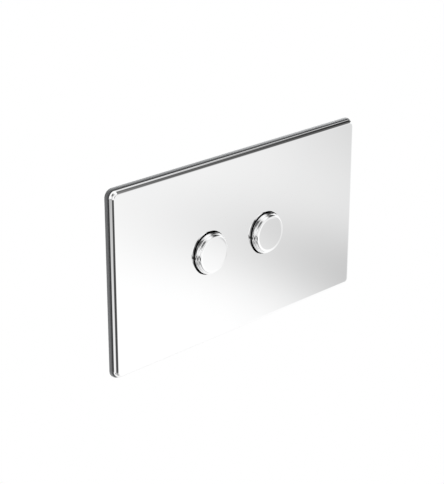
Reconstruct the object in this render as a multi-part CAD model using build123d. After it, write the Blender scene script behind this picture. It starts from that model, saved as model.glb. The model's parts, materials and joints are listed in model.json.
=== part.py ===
from build123d import *
import os
from math import cos, radians, sin, tan

# Flush button plate for a concealed cistern, in millimetres.
# The wall is the plane Y = 0 and the plate faces -Y. X runs along the plate and Z is up.
# Heights are measured off the wall towards the front, so they are negative behind the wall.

# Outline and edge of the plate
frame_width = 257.0
frame_height = 143.6
frame_corner_radius = 6.3
frame_rim_depth = 2.5
frame_edge_radius = 0.9
shadow_gap = 1.0
cover_inset = 1.1
cover_edge_radius = 2.6
cover_edge_land = 0.3
cover_thickness = 1.6
cover_lip_width = 2.4

# Mounting frame
frame_fit = 0.3
frame_skin = 2.1
rim_width = 6.0
opening_border = 23.5
opening_corner_radius = 6.0
collar_thickness = 2.0
collar_depth = 10.0
collar_edge_radius = 0.6
rib_thickness = 1.6
rib_clearance = 0.4
top_rib_pitch = 40.0
top_rib_count = 5
side_rib_pitch = 26.0
side_rib_count = 3

# Foam strip in the back of the rim
seal_width = 3.0
seal_thickness = 0.8
seal_groove_fit = 0.1

# Wall fixings
fixing_spacing = 160.0
fixing_edge_distance = 10.0
fixing_slot_length = 12.0
fixing_slot_fit = 0.25
lug_thickness = 2.0
lug_height = 26.0
lug_margin = 8.0
lug_corner_radius = 4.0
screw_radius = 2.5
screw_thread_depth = 0.3
screw_reach = 38.0
screw_point = 1.2
screw_head_radius = 5.0
screw_head_height = 1.4
screw_head_edge = 0.5
drive_slot_length = 5.6
drive_slot_width = 1.1
drive_slot_depth = 0.8
washer_radius = 6.0
washer_thickness = 0.8
washer_fit = 0.2

# Posts on the cover's back and the wire clips that grip them
post_inset_x = 23.0
post_inset_z = 15.5
post_radius = 2.0
post_neck_depth = 0.45
post_neck_margin = 0.05
post_tip_height = 0.5
post_tip_chamfer = 0.6
post_hole_fit = 0.3
clip_wire_radius = 0.5
clip_grip_fit = 0.05
clip_leg_tail = 5.5
clip_leg_lead = 3.5
clip_pocket_margin = 0.9
clip_pocket_fit = 0.1
clip_pocket_wall = 1.8
clip_pocket_relief = 0.3

# Buttons
button_pitch = 60.0
button_row_offset = -4.0
button_row_height = 1.3
button_proud = 5.0
button_travel = 4.5
button_hole_edge = 0.1

# Button cap: a disc with a bevelled rim, on a wider base with a round shoulder
cap_radius = 14.85
cap_bevel_width = 1.4
cap_bevel_angle = 6.5
cap_rim_radius = 1.35
cap_groove_drop = 1.6
cap_groove_width = 0.2
cap_groove_depth = 0.25
cap_shoulder_radius = 1.15
cap_skirt_depth = 2.0
cap_wall = 1.6
cap_boss_wall = 2.0
cap_boss_length = 4.6
cap_rib_count = 6
cap_rib_thickness = 1.0
cap_rib_height = 1.2
cap_rib_gap = 0.9

# Button housing
cap_clearance = 0.95
housing_wall = 2.0
housing_flange_width = 2.7
housing_flange_thickness = 1.2
housing_floor_gap = 5.2
housing_floor_thickness = 1.6
sleeve_wall = 1.75
sleeve_length = 15.5
sleeve_stop_gap = 0.6
gusset_count = 4
gusset_thickness = 1.6
gusset_reach = 8.0
gusset_drop = 6.5
seat_ring_wall = 1.5
seat_ring_height = 1.6
seat_ring_fit = 0.1

# Push rod, plunger, retaining clip and lock nut
rod_radius = 2.5
rod_fit = 0.05
rod_length = 45.0
rod_engagement = 10.0
rod_socket_gap = 1.0
rod_tip_radius = 1.2
stem_wall = 1.45
stem_running_fit = 0.05
stem_socket_fit = 0.02
stem_head_gap = 0.3
stem_tail = 7.0
stem_edge = 0.5
clip_thickness = 0.8
clip_groove_depth = 0.7
clip_groove_margin = 0.1
clip_prong_fit = 0.05
clip_prong_width = 2.4
clip_ring_gap = 0.9
clip_ring_width = 1.4
clip_mouth_width = 5.6
nut_across_flats = 8.0
nut_thickness = 4.0
nut_chamfer = 0.5

# Return spring
spring_wire_radius = 0.5
spring_turns = 5
spring_clearance = 0.7
spring_seat_gap = 0.02

# Sizes and heights that follow from the values above
cover_depth = cover_edge_radius + cover_edge_land
cover_lip_height = frame_rim_depth + shadow_gap
face_height = cover_lip_height + cover_depth
cover_inner_height = face_height - cover_thickness
cover_width = frame_width - 2 * cover_inset
cover_height = frame_height - 2 * cover_inset
cover_corner_radius = frame_corner_radius - cover_inset
pocket_width = cover_width - 2 * cover_lip_width
pocket_height = cover_height - 2 * cover_lip_width
pocket_corner_radius = cover_corner_radius - cover_lip_width

frame_back_height = cover_inner_height - frame_skin
hollow_width = frame_width - 2 * rim_width
hollow_height = frame_height - 2 * rim_width
opening_width = fixing_spacing + 2 * fixing_edge_distance
opening_height = frame_height - 2 * opening_border
fixing_slot_width = 2 * (screw_radius + fixing_slot_fit)
lug_inner_edge = (fixing_spacing - fixing_slot_length) / 2 - lug_margin

post_neck_radius = post_radius - post_neck_depth
clip_wire_height = frame_back_height - clip_wire_radius
clip_bend_radius = post_neck_radius + clip_grip_fit + clip_wire_radius
clip_front_end = clip_leg_lead + clip_bend_radius + clip_wire_radius

cap_face_height = face_height + button_proud
cap_bevel_radius = cap_radius - cap_rim_radius * (1 - sin(radians(cap_bevel_angle)))
cap_bevel_drop = cap_bevel_width * tan(radians(cap_bevel_angle))
cap_face_radius = cap_bevel_radius - cap_bevel_width
cap_base_radius = cap_radius + cap_shoulder_radius
cap_ceiling_height = cap_face_height - cap_wall
cap_skirt_height = face_height - cap_skirt_depth
cap_boss_height = cap_ceiling_height - cap_boss_length

stem_radius = rod_radius + rod_fit + stem_wall
cap_boss_radius = stem_radius + stem_socket_fit + cap_boss_wall
housing_bore_radius = cap_base_radius + cap_clearance
housing_tube_radius = housing_bore_radius + housing_wall
housing_flange_radius = housing_tube_radius + housing_flange_width
housing_floor_height = cap_skirt_height - button_travel - housing_floor_gap
housing_floor_rear = housing_floor_height - housing_floor_thickness
sleeve_bore_radius = stem_radius + stem_running_fit
sleeve_radius = sleeve_bore_radius + sleeve_wall
sleeve_front_height = cap_boss_height - button_travel - sleeve_stop_gap
sleeve_rear_height = sleeve_front_height - sleeve_length
stem_rear_height = sleeve_rear_height - stem_tail
spring_mean_radius = max(cap_boss_radius, sleeve_radius) + spring_clearance + spring_wire_radius

button_places = {
    "left": (button_row_offset - button_pitch / 2, button_row_height),
    "right": (button_row_offset + button_pitch / 2, button_row_height),
}
post_x = frame_width / 2 - post_inset_x
post_z = frame_height / 2 - post_inset_z
post_places = [(side * post_x, end * post_z) for side in (-1, 1) for end in (-1, 1)]
fixing_places = [(side * fixing_spacing / 2, 0) for side in (-1, 1)]

# Sections of turned pieces are drawn as radius against height
turning_plane = Plane((0, 0, 0), x_dir=(1, 0, 0), z_dir=(0, 0, -1))


def slab(outline, low, high):
    """Outline drawn in X and Z, thickened between two heights off the wall."""
    return extrude(Plane.XZ.offset(low) * outline, high - low)


def disc(radius, low, high):
    return slab(Circle(radius), low, high)


def tube(radius, bore, low, high):
    return slab(Circle(radius) - Circle(bore), low, high)


def turned(*points):
    """Solid of revolution about Y from the corners of its section, each a radius and a height."""
    return revolve(turning_plane * make_face(Polyline(*points, close=True)), Axis.Y)


def placed(solid, place):
    return Pos(place[0], 0, place[1]) * solid


def towards_side(solid, place):
    """Solid set at a place, turned about so that its +X end points to the nearer side of the plate."""
    return placed(Rot(0, 0 if place[0] > 0 else 180, 0) * solid, place)


def spun(solid, count):
    """Copies of a solid, evenly spaced round Y."""
    return [Rot(0, 360 * i / count, 0) * solid for i in range(count)]


def spread(count, pitch):
    """Evenly spaced places, centred on zero."""
    return [(i - (count - 1) / 2) * pitch for i in range(count)]


def group(solids):
    return Compound(children=[Part(solid.wrapped) for solid in solids])


def front_edges(solid):
    return solid.faces().sort_by(Axis.Y)[0].edges()


def rear_edges(solid):
    return solid.faces().sort_by(Axis.Y)[-1].edges()


def cover_post():
    """Post with a neck for the wire clip and a chamfered tip."""
    neck_low = clip_wire_height - clip_wire_radius - post_neck_margin
    neck_high = clip_wire_height + clip_wire_radius + post_neck_margin
    return turned(
        (0, post_tip_height),
        (post_radius - post_tip_chamfer, post_tip_height),
        (post_radius, post_tip_height + post_tip_chamfer),
        (post_radius, neck_low),
        (post_neck_radius, neck_low),
        (post_neck_radius, neck_high),
        (post_radius, neck_high),
        (post_radius, cover_inner_height),
        (0, cover_inner_height),
    )


def button_hole():
    """Hole as wide as a housing's bore, with a fine chamfer at the cover's face."""
    return turned(
        (0, cover_inner_height),
        (housing_bore_radius, cover_inner_height),
        (housing_bore_radius, face_height - button_hole_edge),
        (housing_bore_radius + button_hole_edge, face_height),
        (0, face_height),
    )


def front_plate():
    """Chrome cover: flat face, rounded edge, hollow back, seats for the housings and posts."""
    outline = RectangleRounded(cover_width, cover_height, cover_corner_radius)
    blank = slab(outline, cover_lip_height, face_height)
    cover = fillet(front_edges(blank), cover_edge_radius)
    pocket = RectangleRounded(pocket_width, pocket_height, pocket_corner_radius)
    cover -= slab(pocket, cover_lip_height, cover_inner_height)
    seat_bore = housing_flange_radius + seat_ring_fit
    seat_rear = cover_inner_height - seat_ring_height
    seat = tube(seat_bore + seat_ring_wall, seat_bore, seat_rear, cover_inner_height)
    for place in button_places.values():
        cover += placed(seat, place)
        cover -= placed(button_hole(), place)
    for place in post_places:
        cover += placed(cover_post(), place)
    return cover


def clip_pocket_outline(margin):
    """Rectangle round a wire clip, grown by a margin on every side."""
    length = clip_leg_tail + clip_front_end + 2 * clip_pocket_margin
    middle = (clip_front_end - clip_leg_tail) / 2
    width = 2 * (clip_bend_radius + clip_wire_radius + clip_pocket_fit)
    return Pos(middle, 0) * Rectangle(length + 2 * margin, width + 2 * margin)


def seal_outline(width):
    """Closed strip that runs round the middle of the rim's back face."""
    outer_inset = (rim_width - width) / 2
    inner_inset = outer_inset + width
    outer = RectangleRounded(
        frame_width - 2 * outer_inset,
        frame_height - 2 * outer_inset,
        frame_corner_radius - outer_inset,
    )
    inner = RectangleRounded(
        frame_width - 2 * inner_inset,
        frame_height - 2 * inner_inset,
        frame_corner_radius - inner_inset,
    )
    return outer - inner


def frame_blank():
    """Rim with the raised seat that fills the cover's hollow, and a ribbed back."""
    outline = RectangleRounded(frame_width, frame_height, frame_corner_radius)
    rim = slab(outline, 0, frame_rim_depth)
    frame = fillet(front_edges(rim), frame_edge_radius)
    seat = RectangleRounded(
        pocket_width - 2 * frame_fit,
        pocket_height - 2 * frame_fit,
        pocket_corner_radius - frame_fit,
    )
    frame += slab(seat, frame_rim_depth, cover_inner_height)
    hollow = RectangleRounded(hollow_width, hollow_height, opening_corner_radius)
    frame -= slab(hollow, 0, frame_back_height)
    for x in spread(top_rib_count, top_rib_pitch):
        rib = Pos(x, 0) * Rectangle(rib_thickness, hollow_height)
        frame += slab(rib, rib_clearance, frame_back_height)
    for z in spread(side_rib_count, side_rib_pitch):
        rib = Pos(0, z) * Rectangle(hollow_width, rib_thickness)
        frame += slab(rib, rib_clearance, frame_back_height)
    return frame


def fixing_lug():
    """Lug on the right of the opening, with its inner corners rounded."""
    reach = opening_width / 2 - lug_inner_edge
    outline = Pos(lug_inner_edge + reach / 2, 0) * Rectangle(reach, lug_height)
    outline = fillet(outline.vertices().sort_by(Axis.X)[:2], lug_corner_radius)
    return slab(outline, 0, lug_thickness)


def mounting_frame():
    """Grey frame: ribbed rim, collar round the service opening, clip pockets and slotted lugs."""
    frame = frame_blank()
    collar = RectangleRounded(
        opening_width + 2 * collar_thickness,
        opening_height + 2 * collar_thickness,
        opening_corner_radius + collar_thickness,
    )
    opening = RectangleRounded(opening_width, opening_height, opening_corner_radius)
    frame += slab(collar, -collar_depth, frame_back_height)
    frame -= slab(opening, -collar_depth, cover_inner_height)
    frame = fillet(rear_edges(frame), collar_edge_radius)
    pocket_wall = slab(clip_pocket_outline(clip_pocket_wall), clip_pocket_relief, frame_back_height)
    pocket = slab(clip_pocket_outline(0), 0, frame_back_height)
    post_hole = disc(post_radius + post_hole_fit, 0, cover_inner_height)
    for place in post_places:
        frame += towards_side(pocket_wall, place)
        frame -= towards_side(pocket, place)
        frame -= placed(post_hole, place)
    for lug in spun(fixing_lug(), len(fixing_places)):
        frame += lug
    slot = slab(SlotOverall(fixing_slot_length, fixing_slot_width), 0, lug_thickness)
    for place in fixing_places:
        frame -= placed(slot, place)
    frame -= slab(seal_outline(seal_width + 2 * seal_groove_fit), 0, seal_thickness)
    return frame


def wall_seal():
    return slab(seal_outline(seal_width), 0, seal_thickness)


def plate_clips():
    """Hairpin wire clips: two straight legs and a round bend, lying on the frame's back."""
    upper_end = (clip_leg_lead, clip_bend_radius)
    lower_end = (clip_leg_lead, -clip_bend_radius)
    path = (
        Line((-clip_leg_tail, clip_bend_radius), upper_end)
        + RadiusArc(upper_end, lower_end, clip_bend_radius)
        + Line(lower_end, (-clip_leg_tail, -clip_bend_radius))
    )
    route = Plane.XZ.offset(clip_wire_height) * path
    section = Plane(route @ 0, z_dir=route % 0) * Circle(clip_wire_radius)
    clip = sweep(section, path=route)
    return group([towards_side(clip, place) for place in post_places])


def fixing_screws():
    """Flat-headed screws with a crossed drive and a plain neck, their heads under the cover."""
    seat = lug_thickness + washer_thickness
    head_top = seat + screw_head_height
    neck_radius = screw_radius - screw_thread_depth
    screw = turned(
        (0, head_top),
        (screw_head_radius - screw_head_edge, head_top),
        (screw_head_radius, head_top - screw_head_edge),
        (screw_head_radius, seat),
        (neck_radius, seat),
        (neck_radius, 0),
        (screw_radius, 0),
        (screw_radius, screw_point - screw_reach),
        (screw_radius - screw_point, -screw_reach),
        (0, -screw_reach),
    )
    drive = Rectangle(drive_slot_length, drive_slot_width)
    drive += Rectangle(drive_slot_width, drive_slot_length)
    screw -= slab(drive, head_top - drive_slot_depth, head_top)
    return group([placed(screw, place) for place in fixing_places])


def screw_washers():
    washer_top = lug_thickness + washer_thickness
    washer = tube(washer_radius, screw_radius + washer_fit, lug_thickness, washer_top)
    return group([placed(washer, place) for place in fixing_places])


def cap_section():
    """Section of a cap: face, bevel, rounded rim, fine groove, shoulder, skirt, hollow and boss."""
    bevel_end = (cap_bevel_radius, cap_face_height - cap_bevel_drop)
    wall_top = (cap_radius, bevel_end[1] - cap_rim_radius * cos(radians(cap_bevel_angle)))
    groove_top = cap_face_height - cap_groove_drop
    shoulder_top = (cap_radius, groove_top - cap_groove_width)
    shoulder_end = (cap_base_radius, shoulder_top[1] - cap_shoulder_radius)
    inner_radius = cap_radius - cap_wall
    skirt_inner_radius = cap_base_radius - cap_wall
    socket_radius = stem_radius + stem_socket_fit
    edge = Polyline((0, cap_face_height), (cap_face_radius, cap_face_height), bevel_end)
    edge += RadiusArc(bevel_end, wall_top, cap_rim_radius)
    edge += Polyline(
        wall_top,
        (cap_radius, groove_top),
        (cap_radius - cap_groove_depth, groove_top - cap_groove_width / 2),
        shoulder_top,
    )
    edge += RadiusArc(shoulder_top, shoulder_end, cap_shoulder_radius)
    edge += Polyline(
        shoulder_end,
        (cap_base_radius, cap_skirt_height),
        (skirt_inner_radius, cap_skirt_height),
        (skirt_inner_radius, shoulder_end[1]),
        (inner_radius, shoulder_end[1]),
        (inner_radius, cap_ceiling_height),
        (cap_boss_radius, cap_ceiling_height),
        (cap_boss_radius, cap_boss_height),
        (socket_radius, cap_boss_height),
        (socket_radius, cap_ceiling_height),
        (0, cap_ceiling_height),
        (0, cap_face_height),
    )
    return make_face(edge)


def button_cap():
    """Chrome cap, stiffened under its face by short ribs outside the spring."""
    cap = revolve(turning_plane * cap_section(), Axis.Y)
    rib_start = spring_mean_radius + spring_wire_radius + cap_rib_gap
    rib_length = cap_radius - cap_wall - rib_start
    outline = Pos(rib_start + rib_length / 2, 0) * Rectangle(rib_length, cap_rib_thickness)
    rib = slab(outline, cap_ceiling_height - cap_rib_height, cap_ceiling_height)
    for copy in spun(rib, cap_rib_count):
        cap += copy
    return cap


def button_housing():
    """Black housing: flange behind the cover's hole, cup and a guide sleeve with gussets."""
    flange_rear = cover_inner_height - housing_flange_thickness
    housing = turned(
        (housing_bore_radius, cover_inner_height),
        (housing_flange_radius, cover_inner_height),
        (housing_flange_radius, flange_rear),
        (housing_tube_radius, flange_rear),
        (housing_tube_radius, housing_floor_rear),
        (sleeve_radius, housing_floor_rear),
        (sleeve_radius, sleeve_rear_height),
        (sleeve_bore_radius, sleeve_rear_height),
        (sleeve_bore_radius, sleeve_front_height),
        (sleeve_radius, sleeve_front_height),
        (sleeve_radius, housing_floor_height),
        (housing_bore_radius, housing_floor_height),
    )
    root = (sleeve_bore_radius + sleeve_radius) / 2
    side = Polyline(
        (root, housing_floor_rear),
        (sleeve_radius + gusset_reach, housing_floor_rear),
        (root, housing_floor_rear - gusset_drop),
        close=True,
    )
    gusset = extrude(turning_plane * make_face(side), gusset_thickness / 2, both=True)
    for copy in spun(gusset, gusset_count):
        housing += copy
    return housing


def button_stem():
    """Plunger with a head in the cap's boss, a groove for the clip and a socket for the push rod."""
    head = cap_ceiling_height - stem_head_gap
    groove_high = sleeve_rear_height + clip_groove_margin
    groove_low = sleeve_rear_height - clip_thickness - clip_groove_margin
    groove_radius = stem_radius - clip_groove_depth
    socket_radius = rod_radius + rod_fit
    socket_end = stem_rear_height + rod_engagement + rod_socket_gap
    return turned(
        (0, head),
        (stem_radius - stem_edge, head),
        (stem_radius, head - stem_edge),
        (stem_radius, groove_high),
        (groove_radius, groove_high),
        (groove_radius, groove_low),
        (stem_radius, groove_low),
        (stem_radius, stem_rear_height),
        (socket_radius, stem_rear_height),
        (socket_radius, socket_end),
        (0, socket_end),
    )


def return_spring():
    """Open coil of eight-sided wire between the housing's floor and the cap's ceiling."""
    low = housing_floor_height + spring_wire_radius + spring_seat_gap
    high = cap_ceiling_height - spring_wire_radius - spring_seat_gap
    length = high - low
    coil = Helix(
        pitch=length / spring_turns,
        height=length,
        radius=spring_mean_radius,
        center=(0, -low, 0),
        direction=(0, -1, 0),
    )
    section = Plane(coil @ 0, z_dir=coil % 0) * RegularPolygon(spring_wire_radius, 8)
    return sweep(section, path=coil, is_frenet=True)


def retaining_clip():
    """Open steel ring with three prongs that reach into the stem's groove."""
    inner_radius = stem_radius + clip_ring_gap
    outer_radius = inner_radius + clip_ring_width
    prong_radius = stem_radius - clip_groove_depth + clip_prong_fit
    ring = Circle(outer_radius) - Circle(inner_radius)
    prong_length = outer_radius - prong_radius
    prong = Pos(prong_radius + prong_length / 2, 0) * Rectangle(prong_length, clip_prong_width)
    for turn in (90, 210, 330):
        ring += Rot(0, 0, turn) * prong
    ring &= Circle(outer_radius)
    ring -= Circle(prong_radius)
    ring -= Pos(0, -outer_radius / 2) * Rectangle(clip_mouth_width, outer_radius)
    return slab(ring, sleeve_rear_height - clip_thickness, sleeve_rear_height)


def push_rod():
    """Rod, screwed into the stem, with a rounded tip that meets the flush valve."""
    front = stem_rear_height + rod_engagement
    rod = disc(rod_radius, front - rod_length, front)
    return fillet(rear_edges(rod), rod_tip_radius)


def lock_nut():
    """Hexagonal nut with rounded-off corners, against the stem's rear end."""
    low = stem_rear_height - nut_thickness
    corner_radius = nut_across_flats / 2 / cos(radians(30))
    chamfer_drop = nut_chamfer * sin(radians(30))
    rounding = turned(
        (0, low),
        (corner_radius - nut_chamfer, low),
        (corner_radius, low + chamfer_drop),
        (corner_radius, stem_rear_height - chamfer_drop),
        (corner_radius - nut_chamfer, stem_rear_height),
        (0, stem_rear_height),
    )
    hexagon = RegularPolygon(nut_across_flats / 2, 6, major_radius=False)
    nut = slab(hexagon, low, stem_rear_height) & rounding
    return nut - disc(rod_radius + rod_fit, low, stem_rear_height)


button_pieces = {
    "button_cap": button_cap,
    "button_housing": button_housing,
    "button_stem": button_stem,
    "return_spring": return_spring,
    "retaining_clip": retaining_clip,
    "push_rod": push_rod,
    "lock_nut": lock_nut,
}

nodes = {
    "front_plate": front_plate(),
    "mounting_frame": mounting_frame(),
    "wall_seal": wall_seal(),
    "plate_clips": plate_clips(),
    "fixing_screws": fixing_screws(),
    "screw_washers": screw_washers(),
}
for piece_name, make_piece in button_pieces.items():
    piece = make_piece()
    for side, place in button_places.items():
        nodes[f"{side}_{piece_name}"] = placed(piece, place)

os.makedirs("parts", exist_ok=True)
for node_name, solid in nodes.items():
    export_step(solid, f"parts/{node_name}.step")
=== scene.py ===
import json
from math import cos, radians, sin, sqrt, tau

import bmesh
import bpy
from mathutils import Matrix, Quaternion, Vector


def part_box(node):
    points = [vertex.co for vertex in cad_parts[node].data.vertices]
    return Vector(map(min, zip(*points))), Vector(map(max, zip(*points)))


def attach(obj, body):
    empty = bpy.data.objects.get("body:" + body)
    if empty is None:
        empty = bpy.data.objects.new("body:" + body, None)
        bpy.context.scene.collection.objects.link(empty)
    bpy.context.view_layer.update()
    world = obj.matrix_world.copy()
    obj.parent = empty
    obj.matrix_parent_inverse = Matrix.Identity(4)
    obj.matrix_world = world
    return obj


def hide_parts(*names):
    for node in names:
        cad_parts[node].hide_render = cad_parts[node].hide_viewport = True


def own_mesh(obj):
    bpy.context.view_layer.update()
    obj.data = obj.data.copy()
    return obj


# Flush button plate: finishes, springs, threads, studio light and camera, in metres.
# The plate stands upright in the plane Y = 0 and faces -Y. X runs along it and Z is up.

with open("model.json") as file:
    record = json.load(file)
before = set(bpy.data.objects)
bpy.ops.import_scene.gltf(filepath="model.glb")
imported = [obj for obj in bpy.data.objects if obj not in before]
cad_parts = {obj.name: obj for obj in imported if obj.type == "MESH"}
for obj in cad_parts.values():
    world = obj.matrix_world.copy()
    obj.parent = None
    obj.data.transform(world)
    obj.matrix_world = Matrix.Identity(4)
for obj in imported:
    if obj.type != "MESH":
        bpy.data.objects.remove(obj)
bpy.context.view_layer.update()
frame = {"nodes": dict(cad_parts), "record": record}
nodes = frame["nodes"]
record = frame["record"]

# Camera
camera_place = (-0.7168, -0.7038, 0.3896)
camera_aim = (-0.0212, -0.0063, 0.0063)
camera_roll = radians(0.13)
camera_lens = 105.6
sensor_width = 36.0

# Studio as the polished metal sees it. Azimuth 0 is straight in front of the plate and grows to the right.
# Each soft card has an azimuth, an elevation, half its width, half its height and a tilt in degrees,
# an edge sharpness and a tone. Later cards lie over earlier ones.
studio_white = 1.03
studio_cards = {
    "front room": (-20, -46, 44, 17, 0, 4, 0.42),
    "front step": (-14, -39, 14, 4, 0, 4, 0.12),
    "front haze": (-12, 36, 26, 18, 0, 3, 0.55),
    "upper left wall": (-60, 56, 34, 27, 0, 4, 0.13),
    "upper left flag": (-48, 63, 22, 9, -25, 4, 0.02),
    "left bar": (-45, 6, 7, 26, 0, 4, 0.08),
    "left bar top": (-31, 38, 20, 5, 45, 4, 0.06),
    "left horizon": (-95, -14, 55, 10, 0, 3, 0.42),
    "left lens": (-76, -12, 16, 4, 0, 3, 0.06),
    "left low flag": (-79, -42, 13, 11, 0, 4, 0.02),
    "front spot": (22, -8, 8, 8, 0, 3, 0.15),
    "front floor": (-17, -23.3, 35, 5.8, 0, 8, 0.06),
    "right post": (47, 20, 9, 28, -20, 4, 0.1),
    "right shade": (70, 48, 28, 9, 0, 6, 0.18),
    "right flag": (89, 31, 34, 15, 0, 10, 0.01),
    "lower front": (20, -72, 55, 12, 0, 4, 0.2),
    "face shade": (56, -15, 9, 5.5, 0, 2, 0.52),
    "face streak": (57, -24.3, 12, 2.2, -15.6, 2, 0.45),
    "low glow": (36, -26.5, 10.5, 3.8, 0, 4, 1.06),
    "right low fill": (76, -26, 21, 9, 0, 6, 0.86),
    "right fill": (78, -6, 25, 11, 0, 6, 1.03),
    "rear right": (152, -20, 26, 50, 0, 4, 0.35),
    "rear left": (-168, -20, 24, 50, 0, 4, 0.35),
    "left rear flag": (-140, -24, 12, 6, 0, 4, 0.08),
    "front floor end": (-52, -25, 8, 3.5, 0, 6, 0.06),
}
background_tone = 1.0
room_tone = 0.35
first_matt_bounce = 0.5  # the diffuse depth of a ray passes this when it meets a matt surface

# Lamps: place, aim, side of the square and power in watts
lamps = {
    "top_lamp": ((0.30, 0.05, 0.45), (0.0, 0.0, 0.07), 0.25, 3.4),
    "rear_lamp": ((0.35, 0.95, 0.55), (0.0, 0.0, 0.0), 0.6, 5.0),
    "left_lamp": ((-0.8, 0.06, -0.2), (-0.1, 0.0, 0.0), 0.3, 0.5),
    "low_lamp": ((-0.25, 0.06, -0.6), (-0.1, 0.0, -0.07), 0.25, 3.0),
}

# Floor
floor_radius = 0.4
floor_segments = 96
floor_level = -1.0
floor_tone = 0.85

# Springs
spring_wire_radius = 0.0005
spring_turns = 5
spring_steps = 48
wire_segments = 12

# Threads of the fixing screws and push rods
thread_radius = 0.0025
thread_neck_radius = 0.0022
thread_pitch = 0.0008
thread_depth = 0.00045
thread_crest = 0.15  # flat of the crest, against the rise of the flanks
thread_run_out = 0.0008  # length over which the neck widens to the full radius
thread_steps = 8
thread_segments = 36
screw_cut = -0.0001  # where the screws' plain shanks give way to threads
screw_point = 0.0012
rod_tip_radius = 0.0012
sharp_angle = radians(35)

# Finishes. Tones and roughness run between two limits, along a noise of the given size.
noise_low = 0.3
noise_high = 0.7
smooth_detail = 2.0
grain_detail = 3.0
cloud_detail = 4.0

chrome_tones = ((0.962, 0.964, 0.966, 1.0), (0.972, 0.972, 0.972, 1.0))
chrome_tone_size = 0.05
chrome_roughness = (0.018, 0.034)
chrome_haze_size = 0.004
chrome_ripple_size = 0.009
chrome_ripple_depth = 0.000002
cap_lean = 0.013  # slope by which the mirror of a button cap looks down

flow_mark_size = 0.03
plastics = {
    "grey_plastic": {
        "tones": ((0.235, 0.24, 0.245, 1.0), (0.255, 0.26, 0.265, 1.0)),
        "roughness": (0.42, 0.56),
        "grain_size": 0.00025,
        "grain_depth": 0.00001,
    },
    "black_plastic": {
        "tones": ((0.012, 0.012, 0.013, 1.0), (0.02, 0.02, 0.022, 1.0)),
        "roughness": (0.4, 0.55),
        "grain_size": 0.0003,
        "grain_depth": 0.00001,
    },
    "natural_plastic": {
        "tones": ((0.8, 0.79, 0.75, 1.0), (0.85, 0.84, 0.8, 1.0)),
        "roughness": (0.32, 0.45),
        "grain_size": 0.0006,
        "grain_depth": 0.000006,
    },
}

zinc_tones = ((0.52, 0.52, 0.51, 1.0), (0.66, 0.66, 0.66, 1.0))
zinc_cloud_size = 0.003
zinc_roughness = (0.22, 0.4)
zinc_grain_size = 0.0004
zinc_grain_depth = 0.000006

foam_tones = ((0.045, 0.045, 0.048, 1.0), (0.11, 0.11, 0.115, 1.0))
foam_roughness = (0.85, 0.98)
foam_patch_size = 0.004
foam_cell_size = 0.0005
foam_pit_depth = 0.00008


def calculate(tree, operation, *values):
    """Math node on sockets and plain numbers."""
    step = tree.nodes.new("ShaderNodeMath")
    step.operation = operation
    for socket, value in zip(step.inputs, values):
        if isinstance(value, bpy.types.NodeSocket):
            tree.links.new(value, socket)
        else:
            socket.default_value = value
    return step.outputs["Value"]


def mixed(tree, factor, first, second):
    """Colour mix whose sides are sockets or plain colours."""
    mix = tree.nodes.new("ShaderNodeMix")
    mix.data_type = "RGBA"
    tree.links.new(factor, mix.inputs["Factor"])
    for name, value in (("A", first), ("B", second)):
        socket = next(s for s in mix.inputs if s.name == name and s.type == "RGBA")
        if isinstance(value, bpy.types.NodeSocket):
            tree.links.new(value, socket)
        else:
            socket.default_value = value
    return next(s for s in mix.outputs if s.type == "RGBA")


def grey(tone):
    return (tone, tone, tone, 1.0)


def card_mask(tree, azimuth, elevation, outline):
    """Soft rounded patch of the sky, 1 in its middle and 0 outside."""
    middle_azimuth, middle_elevation, half_width, half_height, tilt, sharpness = outline
    across = calculate(tree, "SUBTRACT", azimuth, middle_azimuth)
    above = calculate(tree, "SUBTRACT", elevation, middle_elevation)
    turn = radians(tilt)
    reaches = []
    for along, cross, half in ((cos(turn), sin(turn), half_width), (-sin(turn), cos(turn), half_height)):
        first = calculate(tree, "MULTIPLY", across, along / half)
        second = calculate(tree, "MULTIPLY", above, cross / half)
        reach = calculate(tree, "ABSOLUTE", calculate(tree, "ADD", first, second))
        reaches.append(calculate(tree, "POWER", reach, sharpness))
    fall = calculate(tree, "MULTIPLY", calculate(tree, "ADD", *reaches), -1.0)
    return calculate(tree, "EXPONENT", fall)


def make_studio():
    """White room: plain light for matt surfaces, and soft cards that only polished surfaces show."""
    world = bpy.data.worlds.new("studio")
    bpy.context.scene.world = world
    world.use_nodes = True
    tree = world.node_tree
    place = tree.nodes.new("ShaderNodeTexCoord")
    axes = tree.nodes.new("ShaderNodeSeparateXYZ")
    tree.links.new(place.outputs["Generated"], axes.inputs["Vector"])
    forward = calculate(tree, "MULTIPLY", axes.outputs["Y"], -1.0)
    azimuth = calculate(tree, "DEGREES", calculate(tree, "ARCTAN2", axes.outputs["X"], forward))
    elevation = calculate(tree, "DEGREES", calculate(tree, "ARCSINE", axes.outputs["Z"]))
    seen = grey(studio_white)
    for *outline, tone in studio_cards.values():
        seen = mixed(tree, card_mask(tree, azimuth, elevation, outline), seen, grey(tone))
    path = tree.nodes.new("ShaderNodeLightPath")
    direct = calculate(tree, "LESS_THAN", path.outputs["Diffuse Depth"], first_matt_bounce)
    mirrored = calculate(tree, "MULTIPLY", path.outputs["Is Glossy Ray"], direct)
    light = mixed(tree, mirrored, grey(room_tone), seen)
    clear = calculate(tree, "MAXIMUM", path.outputs["Is Camera Ray"], path.outputs["Is Transmission Ray"])
    light = mixed(tree, clear, light, grey(background_tone))
    tree.links.new(light, tree.nodes["Background"].inputs["Color"])


def make_lamp(name, place, aim, side, power):
    """Square soft lamp that polished surfaces don't mirror."""
    data = bpy.data.lights.new(name, "AREA")
    data.size = side
    data.energy = power
    lamp = bpy.data.objects.new(name, data)
    lamp.location = place
    lamp.rotation_mode = "QUATERNION"
    lamp.rotation_quaternion = (Vector(aim) - Vector(place)).to_track_quat("-Z", "Y")
    lamp.visible_glossy = False
    bpy.context.scene.collection.objects.link(lamp)


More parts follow.
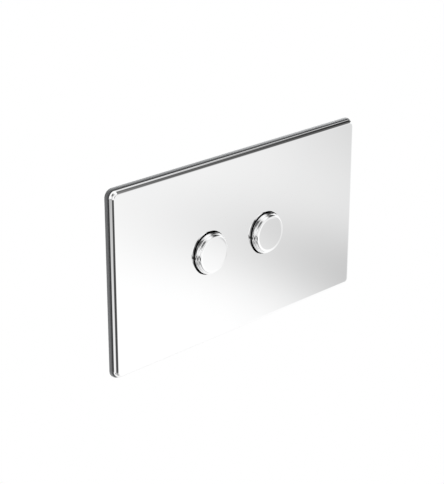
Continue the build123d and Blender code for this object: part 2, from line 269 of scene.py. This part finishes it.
def make_camera():
    data = bpy.data.cameras.new("camera")
    data.lens = camera_lens
    data.sensor_width = sensor_width
    camera = bpy.data.objects.new("camera", data)
    camera.location = camera_place
    camera.rotation_mode = "QUATERNION"
    towards = Vector(camera_aim) - Vector(camera_place)
    camera.rotation_quaternion = towards.to_track_quat("-Z", "Y") @ Quaternion((0, 0, 1), camera_roll)
    bpy.context.scene.collection.objects.link(camera)
    bpy.context.scene.camera = camera


def pale_ground(name):
    """Pale matt material that is white wherever it is seen or mirrored."""
    material = bpy.data.materials.new(name)
    material.use_nodes = True
    tree = material.node_tree
    shader = tree.nodes["Principled BSDF"]
    shader.inputs["Base Color"].default_value = grey(floor_tone)
    glow = tree.nodes.new("ShaderNodeEmission")
    path = tree.nodes.new("ShaderNodeLightPath")
    seen = calculate(tree, "MAXIMUM", path.outputs["Is Camera Ray"], path.outputs["Is Glossy Ray"])
    seen = calculate(tree, "MAXIMUM", seen, path.outputs["Is Transmission Ray"])
    blend = tree.nodes.new("ShaderNodeMixShader")
    tree.links.new(seen, blend.inputs["Fac"])
    tree.links.new(shader.outputs["BSDF"], blend.inputs[1])
    tree.links.new(glow.outputs["Emission"], blend.inputs[2])
    tree.links.new(blend.outputs["Shader"], tree.nodes["Material Output"].inputs["Surface"])
    return material


def make_floor():
    """Round floor well below the plate."""
    shape = bmesh.new()
    bmesh.ops.create_circle(shape, cap_ends=True, radius=floor_radius, segments=floor_segments)
    mesh = bpy.data.meshes.new("floor")
    shape.to_mesh(mesh)
    shape.free()
    mesh.materials.append(pale_ground("floor"))
    floor = bpy.data.objects.new("floor", mesh)
    floor.location = (0, 0, floor_level)
    bpy.context.scene.collection.objects.link(floor)


def new_surface(name, metallic=0.0):
    """Material with its tree, its shader and a texture place that moves with the piece."""
    material = bpy.data.materials.new(name)
    material.use_nodes = True
    tree = material.node_tree
    shader = tree.nodes["Principled BSDF"]
    shader.inputs["Metallic"].default_value = metallic
    place = tree.nodes.new("ShaderNodeTexCoord").outputs["Object"]
    return material, tree, shader, place


def noise(tree, place, size, detail=smooth_detail):
    """Noise with features of about the given size in metres."""
    texture = tree.nodes.new("ShaderNodeTexNoise")
    texture.inputs["Scale"].default_value = 1 / size
    texture.inputs["Detail"].default_value = detail
    tree.links.new(place, texture.inputs["Vector"])
    return texture.outputs["Fac"]


def spread_out(tree, value, low, high):
    """Noise value spread between two numbers."""
    ranged = tree.nodes.new("ShaderNodeMapRange")
    ranged.inputs["From Min"].default_value = noise_low
    ranged.inputs["From Max"].default_value = noise_high
    ranged.inputs["To Min"].default_value = low
    ranged.inputs["To Max"].default_value = high
    tree.links.new(value, ranged.inputs["Value"])
    return ranged.outputs["Result"]


def bump(tree, height, depth, below=None):
    """Bump of a given depth in metres, laid over another one if there is one."""
    node = tree.nodes.new("ShaderNodeBump")
    node.inputs["Strength"].default_value = 1.0
    node.inputs["Distance"].default_value = depth
    tree.links.new(height, node.inputs["Height"])
    if below is not None:
        tree.links.new(below, node.inputs["Normal"])
    return node.outputs["Normal"]


def polished_chrome(name, lean=0.0):
    """Bright plating with the faint unevenness of polished metal, and a face that can lean down a little."""
    material, tree, shader, place = new_surface(name, metallic=1.0)
    tint = spread_out(tree, noise(tree, place, chrome_tone_size), 0.0, 1.0)
    tree.links.new(mixed(tree, tint, *chrome_tones), shader.inputs["Base Color"])
    haze = noise(tree, place, chrome_haze_size, cloud_detail)
    tree.links.new(spread_out(tree, haze, *chrome_roughness), shader.inputs["Roughness"])
    normal = bump(tree, noise(tree, place, chrome_ripple_size), chrome_ripple_depth)
    if lean:
        axes = tree.nodes.new("ShaderNodeSeparateXYZ")
        tree.links.new(place, axes.inputs["Vector"])
        normal = bump(tree, calculate(tree, "MULTIPLY", axes.outputs["Z"], lean), 1.0, normal)
    tree.links.new(normal, shader.inputs["Normal"])
    return material


def moulded_plastic(name):
    """Moulded plastic with slight flow marks and a fine eroded texture."""
    look = plastics[name]
    material, tree, shader, place = new_surface(name)
    flow = spread_out(tree, noise(tree, place, flow_mark_size, cloud_detail), 0.0, 1.0)
    tree.links.new(mixed(tree, flow, *look["tones"]), shader.inputs["Base Color"])
    fine = noise(tree, place, look["grain_size"], grain_detail)
    tree.links.new(spread_out(tree, fine, *look["roughness"]), shader.inputs["Roughness"])
    tree.links.new(bump(tree, fine, look["grain_depth"]), shader.inputs["Normal"])
    return material


def zinc_plating(name):
    """Bright zinc and drawn steel with a fine uneven sheen."""
    material, tree, shader, place = new_surface(name, metallic=1.0)
    cloud = spread_out(tree, noise(tree, place, zinc_cloud_size, cloud_detail), 0.0, 1.0)
    tree.links.new(mixed(tree, cloud, *zinc_tones), shader.inputs["Base Color"])
    fine = noise(tree, place, zinc_grain_size, grain_detail)
    tree.links.new(spread_out(tree, fine, *zinc_roughness), shader.inputs["Roughness"])
    tree.links.new(bump(tree, fine, zinc_grain_depth), shader.inputs["Normal"])
    return material


def foam_rubber(name):
    """Closed-cell foam: dark, dull and pitted."""
    material, tree, shader, place = new_surface(name)
    cells = tree.nodes.new("ShaderNodeTexVoronoi")
    cells.inputs["Scale"].default_value = 1 / foam_cell_size
    tree.links.new(place, cells.inputs["Vector"])
    pits = cells.outputs["Distance"]
    tree.links.new(mixed(tree, pits, *foam_tones), shader.inputs["Base Color"])
    patches = noise(tree, place, foam_patch_size)
    tree.links.new(spread_out(tree, patches, *foam_roughness), shader.inputs["Roughness"])
    tree.links.new(bump(tree, pits, foam_pit_depth), shader.inputs["Normal"])
    return material


def add_object(name, mesh, material):
    for polygon in mesh.polygons:
        polygon.use_smooth = True
    mesh.set_sharp_from_angle(angle=sharp_angle)
    mesh.materials.clear()
    mesh.materials.append(material)
    piece = bpy.data.objects.new(name, mesh)
    bpy.context.scene.collection.objects.link(piece)
    return piece


def add_rings(shape, rings):
    """Closed tube through rings of points, with a flat face at each end."""
    rows = [[shape.verts.new(point) for point in ring] for ring in rings]
    count = len(rows[0])
    for row, after in zip(rows, rows[1:]):
        for i in range(count):
            j = (i + 1) % count
            shape.faces.new((row[i], row[j], after[j], after[i]))
    shape.faces.new(rows[0])
    shape.faces.new(rows[-1])


def mesh_from(shape, name):
    bmesh.ops.recalc_face_normals(shape, faces=shape.faces)
    mesh = bpy.data.meshes.new(name)
    shape.to_mesh(mesh)
    shape.free()
    return mesh


def return_spring(side, material):
    """Coil in the place of the node's own, fixed to the plate."""
    node = f"{side}_return_spring"
    low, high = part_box(node)
    middle = (low + high) / 2
    coil_radius = (high.x - low.x) / 2 - spring_wire_radius
    rear = high.y - spring_wire_radius
    length = high.y - low.y - 2 * spring_wire_radius
    rings = []
    total = spring_turns * spring_steps
    for step in range(total + 1):
        turn = tau * step / spring_steps
        outward = Vector((cos(turn), 0, sin(turn)))
        centre = Vector((middle.x, rear - length * step / total, middle.z)) + coil_radius * outward
        ring = []
        for k in range(wire_segments):
            angle = tau * k / wire_segments
            ring.append(centre + spring_wire_radius * (cos(angle) * outward + sin(angle) * Vector((0, 1, 0))))
        rings.append(ring)
    shape = bmesh.new()
    add_rings(shape, rings)
    spring = add_object(f"{side}_coil_spring", mesh_from(shape, node), material)
    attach(spring, "plate")
    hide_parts(node)
    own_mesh(spring)


def thread_rings(centre, start, end, tip_radius):
    """Rings of an outside thread along Y, from a plain neck to a tip whose radius follows the distance."""
    count = round((end - start) / thread_pitch * thread_steps)
    rings = []
    for row in range(count + 1):
        y = start + (end - start) * row / count
        entry = min(1.0, (y - start) / thread_run_out)
        neck = thread_neck_radius + (thread_radius - thread_neck_radius) * entry
        limit = min(neck, tip_radius(end - y))
        ring = []
        for k in range(thread_segments):
            angle = tau * k / thread_segments
            phase = (y / thread_pitch + k / thread_segments) % 1.0
            flank = 1 - abs(2 * phase - 1)
            groove = max(0.0, (1 + thread_crest) * flank - thread_crest)
            reach = min(limit, thread_radius - thread_depth * groove)
            ring.append((centre.x + reach * cos(angle), y, centre.z + reach * sin(angle)))
        rings.append(ring)
    return rings


def rounded_tip(distance):
    """Radius of a push rod at a distance from its rounded tip."""
    missing = max(0.0, rod_tip_radius - distance)
    return thread_radius - rod_tip_radius + sqrt(max(0.0, rod_tip_radius**2 - missing**2))


def pointed_tip(distance):
    """Radius of a fixing screw at a distance from its blunt point."""
    return thread_radius - max(0.0, screw_point - distance)


def push_rod(side, material):
    """Threaded rod in the place of the node's plain one."""
    node = f"{side}_push_rod"
    low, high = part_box(node)
    shape = bmesh.new()
    add_rings(shape, thread_rings((low + high) / 2, low.y, high.y, rounded_tip))
    rod = add_object(f"{side}_threaded_rod", mesh_from(shape, node), material)
    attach(rod, f"{side}_button")
    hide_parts(node)


def fixing_screws(material):
    """The node's own screw heads and necks, with threads behind the wall plane."""
    node = "fixing_screws"
    screw_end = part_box(node)[1].y
    shape = bmesh.new()
    shape.from_mesh(nodes[node].data)
    everything = [*shape.verts, *shape.edges, *shape.faces]
    cut = bmesh.ops.bisect_plane(
        shape, geom=everything, plane_co=(0, screw_cut, 0), plane_no=(0, 1, 0), clear_outer=True
    )
    rim = [item for item in cut["geom_cut"] if isinstance(item, bmesh.types.BMEdge)]
    bmesh.ops.holes_fill(shape, edges=rim)
    spacing = record["mounts"][0]["dims"]["spacing_x_mm"] / 1000
    for place in (-spacing / 2, spacing / 2):
        add_rings(shape, thread_rings(Vector((place, 0, 0)), screw_cut, screw_end, pointed_tip))
    mesh = mesh_from(shape, node)
    if "custom_normal" in mesh.attributes:
        mesh.attributes.remove(mesh.attributes["custom_normal"])
    screws = add_object("threaded_fixing_screws", mesh, material)
    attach(screws, "plate")
    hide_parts(node)


bpy.context.scene.view_settings.view_transform = "Standard"
make_studio()
for lamp_name, settings in lamps.items():
    make_lamp(lamp_name, *settings)
make_camera()
make_floor()

finishes = {
    "chrome": polished_chrome("cover_chrome"),
    "frame_grey": moulded_plastic("grey_plastic"),
    "housing_black": moulded_plastic("black_plastic"),
    "natural_plastic": moulded_plastic("natural_plastic"),
    "steel": zinc_plating("bright_steel"),
    "foam": foam_rubber("seal_foam"),
}
cap_chrome = polished_chrome("cap_chrome", cap_lean)
for subpart in record["subparts"]:
    mesh = nodes[subpart["node"]].data
    mesh.materials.clear()
    is_cap = subpart["node"].endswith("button_cap")
    mesh.materials.append(cap_chrome if is_cap else finishes[subpart["material_slot"]])

for side in ("left", "right"):
    return_spring(side, finishes["steel"])
    push_rod(side, finishes["natural_plastic"])
fixing_screws(finishes["steel"])
